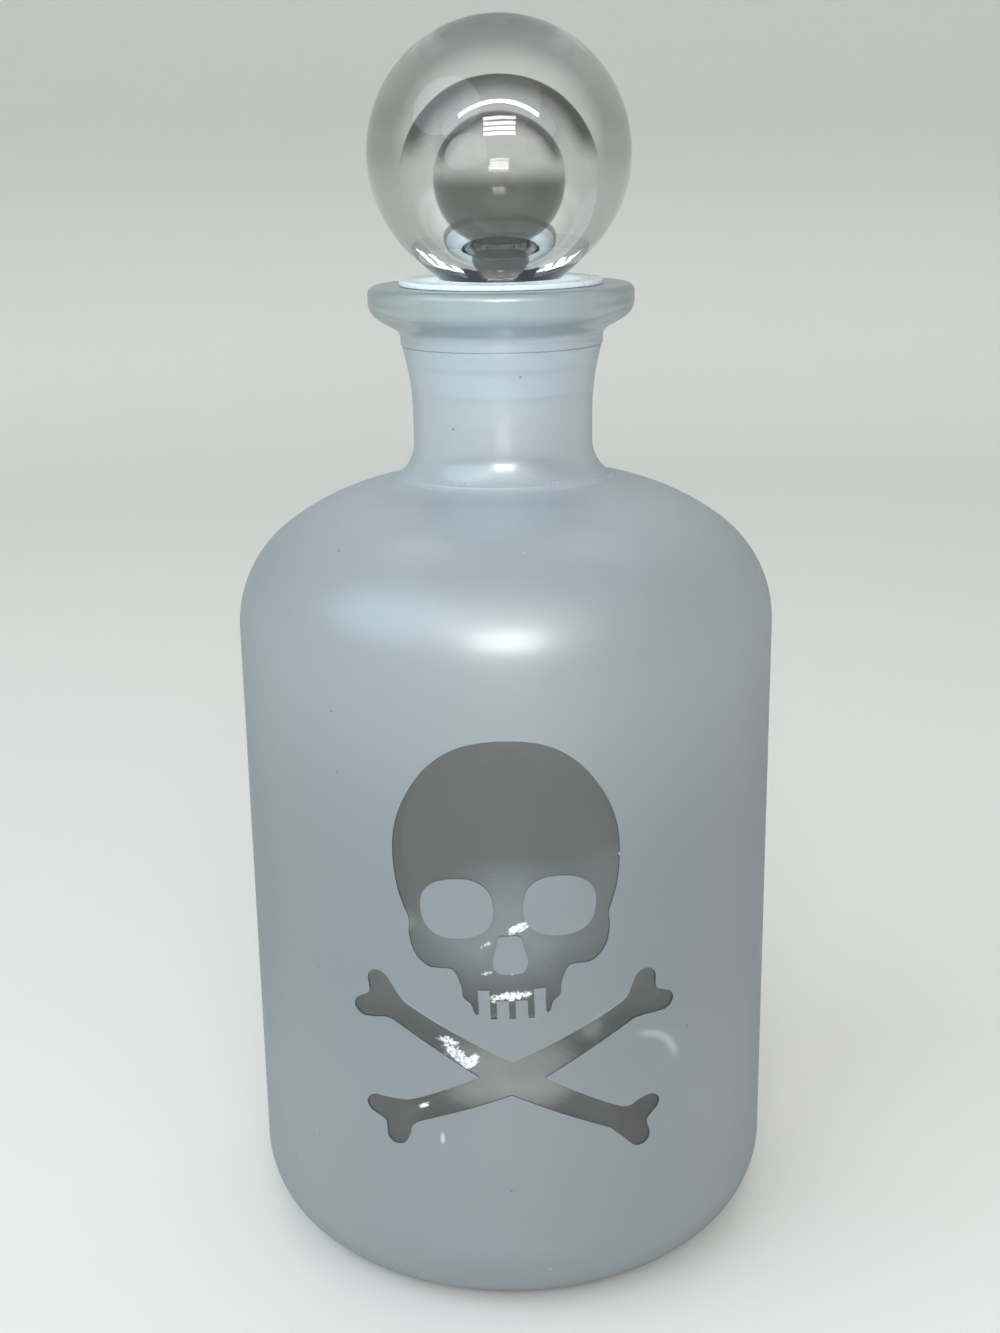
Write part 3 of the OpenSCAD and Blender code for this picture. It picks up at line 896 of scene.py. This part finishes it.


# Spots of painted light in the figure, in the face and where the bones cross: centre (x, z), half
# sizes and strength.
WINDOW_LIGHT_SPOTS = [((-1, 85), (17, 13), 0.42), ((-20, 83), (4, 3), 0.35), ((-4, 73), (11, 8), 0.05)]
GLOW_SPOTS = [((-0.8, 53.5), (17, 10), 0.62), ((14.6, 62), (2.4, 3.4), 0.3)]
# Painted shade on the glass at the lower right bone: centre and half sizes.
LOWER_RIGHT_SHADE = ((24.5, 40), (10, 8))
# Painted glints: pale patches in the figure.
GLINT_SPOTS = [  # centre, half sizes, lean in degrees
    ((1.4, 82.7), (2.6, 0.9), 20),
    ((-3.0, 69.0), (1.3, 0.7), 0),
    ((0.6, 69.5), (3.6, 0.8), 4),
    ((-11.6, 60.1), (2.2, 0.5), -20),
    ((-10.0, 57.4), (3.4, 1.0), -48),
    ((-7.3, 56.2), (1.9, 1.0), 58),
    ((-16.6, 46.0), (1.1, 0.5), 25),
    ((-4.2, 79.6), (0.4, 0.4), 0),
    ((-4.4, 73.9), (0.8, 0.3), 0),
    ((0.4, 73.9), (0.4, 0.3), 0),
]


def bottle_glass_material(c):
    """Clear glass with painted light in the figure's lower face and where the bones cross, painted
    glints, and painted shade at the lower right bone.
    """
    paint = Paint("bottle_glass")
    where, (x, y, z) = paint.place()
    wave = paint.noise(where, 22, 1)
    cloud = paint.noise(where, 7, 3)
    front = y.step(-36, -42)
    ragged = paint.noise(where, 0.8, 5, 0.85) - 0.5
    sparkle = paint.noise(where, 0.6, 2)
    # Painted glints, ragged and sparkling, on the outer face of the front.
    painted_glints = 0
    for centre, size, lean in GLINT_SPOTS:
        painted_glints = paint.spot(x + ragged * 7, z + ragged * 4.6, centre, size, lean) + painted_glints
    outer = (x * x + y * y).step(50.5**2, 51.5**2) * front
    painted_glints = painted_glints.step(0.04, 0.4) * sparkle.step(0.2, 0.6) * outer
    normal = paint.bump(wave * 0.2, MM)
    # Painted light on the clear glass in the figure's lower face.
    window_light = (z - x * 0.3).step(95, 87) * 0.22
    for centre, size, strength in WINDOW_LIGHT_SPOTS:
        window_light = paint.spot(x, z, centre, size) * strength + window_light
    window_light = window_light * z.step(66, 75) * (0.7 + cloud * 0.6)
    # Painted light where the bones cross, on the upper right bone and down the lower bones.
    glow = z.step(60, 38) * 0.22
    for centre, size, strength in GLOW_SPOTS:
        glow = paint.spot(x, z, centre, size) * strength + glow
    glow = glow * (0.7 + cloud * 0.6)
    # Painted shade: the glass is tinted dark brown at the lower right bone.
    painted_shade = paint.spot(x, z, *LOWER_RIGHT_SHADE) * (0.4 + cloud * 0.6) * front
    tint = paint.mix(z.step(135, 155), c.glass, (0.97, 0.99, 1))
    clear = paint.principled(
        Base_Color=paint.mix(painted_shade, tint, (0.12, 0.115, 0.105)),
        Roughness=0.0,
        Transmission_Weight=1.0,
        IOR=1.5,
        Normal=normal,
    )
    # The painted light's half-clear shader.
    window_light_shader = paint.principled(
        Base_Color=paint.mix(z.step(64, 62), c.window_light, c.glow),
        Roughness=0.4,
        Transmission_Weight=0.5,
        IOR=1.45,
        Normal=normal,
    )
    with_window_light = paint.blend((window_light + glow) * outer, clear, window_light_shader)
    # The painted glints' pale shader.
    drop = paint.principled(Base_Color=(0.93, 0.96, 1), Roughness=0.2, Normal=normal)
    return paint.finish(paint.blend(painted_glints, with_window_light, drop))


def ball_glass_material(c, ball_z):
    """Clear glass with painted shade: grey at its edge and darker towards its top, dark in the
    bubble's lower half and along the bubble's upper rim.
    """
    paint = Paint("stopper_glass")
    where, (x, y, z) = paint.place()
    up = z - ball_z
    wave = paint.noise(where, 18, 2)
    inside = (x * x + y * y + up * up).step(19**2, 17.5**2)
    # Painted shade in the bubble's lower half.
    bubble_shade = up.step(0, -5) * inside
    facing = paint.node("ShaderNodeLayerWeight", **{"Blend": 0.5})[1]
    # Painted shade at the ball's edges, stronger towards its top.
    edge = facing.step(0.08, 0.45) * (0.55 + up.step(-8, 6) * 0.45)
    tint = paint.mix(edge, c.ball_glass, c.ball_edge_shade)
    tint = paint.mix(inside, tint, (0.95, 0.93, 0.925))
    # Painted shade along the bubble's upper rim.
    rim_shade = facing.step(0.26, 0.66) * up.step(-2, 3) * inside
    clear = paint.principled(
        Base_Color=paint.mix(bubble_shade, tint, c.bubble_shade),
        Roughness=0.0,
        Transmission_Weight=1.0,
        IOR=1.5,
        Normal=paint.bump(wave, 0.00015),
    )
    dark = paint.principled(Base_Color=c.rim_shade, Roughness=0.5)
    return paint.finish(paint.blend(rim_shade * 0.95, clear, dark))


def sleeve_material(c):
    """Milky moulded plastic with faint flow marks.

    Its faint glow stands for the light that comes to it through the glass round it.
    """
    paint = Paint("sleeve")
    where, (x, y, z) = paint.place()
    flow = paint.noise(where, 5, 3)
    reach = x * x + y * y
    in_neck = z.step(191, 190)
    fins = (0.44 - reach.step(13.1**2, 13.6**2) * 0.16) * in_neck
    glow = fins + reach.step(17.5**2, 12**2) * z.step(191.5, 192)
    base = paint.mix(flow * 0.4, c.sleeve, shade(c.sleeve, 0.9))
    # Painted shade: the sleeve is painted darker where it sits inside the neck.
    base = paint.mix(in_neck * 0.85, base, shade(c.sleeve, 0.62))
    shader = paint.principled(
        Base_Color=base,
        Roughness=0.28 + (flow - 0.5) * 0.15,
        Transmission_Weight=0.1,
        IOR=1.5,
        Emission_Color=paint.mix(glow, (0, 0, 0), tuple(k * k for k in c.sleeve)),
        Emission_Strength=0.45,
        Normal=paint.bump(flow, 0.0001),
    )
    return paint.finish(shader)


def floor_material(c):
    """Plain pale floor, with painted shade that makes it a little darker up the backdrop."""
    paint = Paint("floor")
    where, (_, _, z) = paint.place()
    cloud = paint.noise(where, 300, 2)
    base = paint.mix(cloud * 0.5, c.floor, shade(c.floor, 0.96))
    base = paint.mix(z.step(40, 260), base, shade(c.floor, 0.77))
    return paint.finish(paint.principled(Base_Color=base, Roughness=0.6))


# Pieces


def add_piece(name, bm, material, crease=30):
    """Makes a smooth object from a finished bmesh, with edges sharper than crease kept."""
    limit = math.radians(crease)
    for face in bm.faces:
        face.smooth = True
    for edge in bm.edges:
        edge.smooth = edge.calc_face_angle(0) < limit
    mesh = bpy.data.meshes.new(name)
    bm.to_mesh(mesh)
    bm.free()
    mesh.materials.append(material)
    piece = bpy.data.objects.new(name, mesh)
    bpy.context.scene.collection.objects.link(piece)
    return piece


class DECANTER_OT_bottle(bpy.types.Operator):
    """Builds the clear glass bottle"""

    bl_idname = "decanter.bottle"
    bl_label = "Glass Bottle"

    def execute(self, context):
        s = context.scene.decanter
        values = bottle_values(s.bottle)
        shell = glass_shell(s.bottle, values)
        piece = add_piece("glass_bottle", shell, bottle_glass_material(s.finish))
        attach(piece, "bottle_body")
        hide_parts("bottle")
        return {"FINISHED"}


class DECANTER_OT_coat(bpy.types.Operator):
    """Builds the satin coat with its clear skull and crossbones"""

    bl_idname = "decanter.coat"
    bl_label = "Frost Coat"

    def execute(self, context):
        s = context.scene.decanter
        values = bottle_values(s.bottle)
        shell = coat_shell(s.bottle, s.figure, values)
        piece = add_piece("satin_coat", shell, frost_material(s.finish))
        piece.data.materials.append(coat_inside_material())
        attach(piece, "bottle_body")
        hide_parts("frost_coat")
        return {"FINISHED"}


class DECANTER_OT_sleeve(bpy.types.Operator):
    """Builds the finned plastic sleeve of the stopper"""

    bl_idname = "decanter.sleeve"
    bl_label = "Stopper Sleeve"

    def execute(self, context):
        s = context.scene.decanter
        values = bottle_values(s.bottle)
        shell = sleeve_shell(s.bottle, values, s.sleeve, s.stopper)
        piece = add_piece("finned_sleeve", shell, sleeve_material(s.finish), 40)
        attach(piece, "sleeve")
        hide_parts("stopper_sleeve")
        return {"FINISHED"}


class DECANTER_OT_stopper(bpy.types.Operator):
    """Builds the glass ball with its bubble and plug"""

    bl_idname = "decanter.stopper"
    bl_label = "Ball Stopper"

    def execute(self, context):
        s = context.scene.decanter
        shell = stopper_shell(s.bottle, s.sleeve, s.stopper)
        ball_z = s.bottle.height + s.sleeve.flange_t + s.stopper.rise
        glass = ball_glass_material(s.finish, ball_z / MM)
        piece = add_piece("glass_ball_stopper", shell, glass)
        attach(piece, "stopper")
        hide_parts("ball_stopper")
        return {"FINISHED"}


CENTRE = (0, 0, 0.12)
STRIP_RISES = [Vector((0, 0.4, 0.9)) * (i - 1.5) * 0.066 for i in range(4)]
STRIP_PLACE = Vector((0.01, -0.85, 0.56))
STRIP_AIM = Vector((0, 0, 0.2))
LIGHTS = [  # name, place, aim, width and height in metres, watts, tint
    ("key", (0.05, -0.95, 1.05), CENTRE, 1.5, 1.0, 3.55, (1, 0.99, 0.97)),
    *(
        (f"front_{i}", STRIP_PLACE + rise, STRIP_AIM + rise, 0.42, 0.045, 1.15, (1, 1, 1))
        for i, rise in enumerate(STRIP_RISES)
    ),
    ("low", (0, -0.9, 0.035), (0, 0, 0.19), 0.3, 0.06, 0.12, (1, 1, 1)),
    ("left", (-0.82, -0.6, 0.92), CENTRE, 1.4, 1.05, 7.0, (0.72, 0.93, 1)),
    ("wall", (0, 0.45, 1.25), (0, 0.85, 0), 1.2, 0.16, 2.45, (1, 0.99, 0.95)),
]
CAMERA_PLACE = (0, -0.33844, 0.21498)


def add_light(name, place, aim, width, height, watts, tint):
    """A soft rectangular light that looks from a place towards a point, in metres."""
    data = bpy.data.lights.new(name, "AREA")
    data.shape = "RECTANGLE"
    data.size, data.size_y = width, height
    data.energy = watts
    data.color = tint
    light = bpy.data.objects.new(name, data)
    light.location = place
    light.rotation_euler = (Vector(aim) - Vector(place)).to_track_quat("-Z", "Y").to_euler()
    bpy.context.scene.collection.objects.link(light)
    return light


def room_light():
    """The even light of a bright room."""
    world = bpy.data.worlds.new("soft_room")
    world.use_nodes = True
    sky = world.node_tree.nodes["Background"]
    sky.inputs["Color"].default_value = (0.95, 0.98, 1, 1)
    sky.inputs["Strength"].default_value = 0.5
    return world


class DECANTER_OT_stage(bpy.types.Operator):
    """Builds the pale floor, the soft studio light and the camera"""

    bl_idname = "decanter.stage"
    bl_label = "Stage"

    def execute(self, context):
        s = context.scene.decanter
        g = s.stage
        pen = Pen(0, 0)
        pen.line(g.floor_r, 0, 0.1)
        pen.arc((g.floor_r, g.cove_r), math.pi / 2, math.radians(6))
        pen.line(g.floor_r + g.cove_r, g.cove_r + g.wall_h)
        bm = pen.revolve(closed=False)
        bmesh.ops.translate(bm, verts=bm.verts, vec=(0, 0, -0.1 * MM))
        if bm.faces[0].normal.z < 0:
            bmesh.ops.reverse_faces(bm, faces=bm.faces)
        floor = add_piece("floor", bm, floor_material(s.finish))

        scene = context.scene
        camera = bpy.data.objects.new("camera", bpy.data.cameras.new("camera"))
        scene.collection.objects.link(camera)
        camera.data.lens = g.lens
        camera.data.clip_start = 0.01
        camera.matrix_world = (
            Matrix.Translation(CAMERA_PLACE)
            @ Matrix.Rotation(g.pan, 4, "Z")
            @ Matrix.Rotation(math.pi / 2 - g.pitch, 4, "X")
            @ Matrix.Rotation(g.roll, 4, "Z")
        )
        scene.camera = camera

        lights = {name: add_light(name, *rest) for name, *rest in LIGHTS}
        lights["left"].data.shape = "ELLIPSE"  # so that the ball shows no corners of it
        lights["wall"].visible_glossy = False  # it lights the backdrop alone, not the ball
        scene.world = room_light()
        scene.view_settings.view_transform = "Standard"
        return {"FINISHED"}


class DECANTER_PT_panel(bpy.types.Panel):
    """Lists the pieces of the decanter"""

    bl_idname = "DECANTER_PT_panel"
    bl_label = "Decanter"
    bl_space_type = "VIEW_3D"
    bl_region_type = "UI"
    bl_category = "Decanter"

    def draw(self, context):
        for operator in OPERATORS:
            self.layout.operator(operator.bl_idname)


OPERATORS = (
    DECANTER_OT_bottle,
    DECANTER_OT_coat,
    DECANTER_OT_sleeve,
    DECANTER_OT_stopper,
    DECANTER_OT_stage,
)
CLASSES = (
    DecanterBottle,
    DecanterFigure,
    DecanterSleeve,
    DecanterStopper,
    DecanterFinish,
    DecanterStage,
    DecanterSettings,
    *OPERATORS,
    DECANTER_PT_panel,
)


def register():
    for cls in CLASSES:
        bpy.utils.register_class(cls)
    bpy.types.Scene.decanter = PointerProperty(type=DecanterSettings)


def unregister():
    del bpy.types.Scene.decanter
    for cls in reversed(CLASSES):
        bpy.utils.unregister_class(cls)


def main():
    register()
    bpy.ops.decanter.bottle()
    bpy.ops.decanter.coat()
    bpy.ops.decanter.sleeve()
    bpy.ops.decanter.stopper()
    bpy.ops.decanter.stage()


if __name__ == "__main__":
    main()
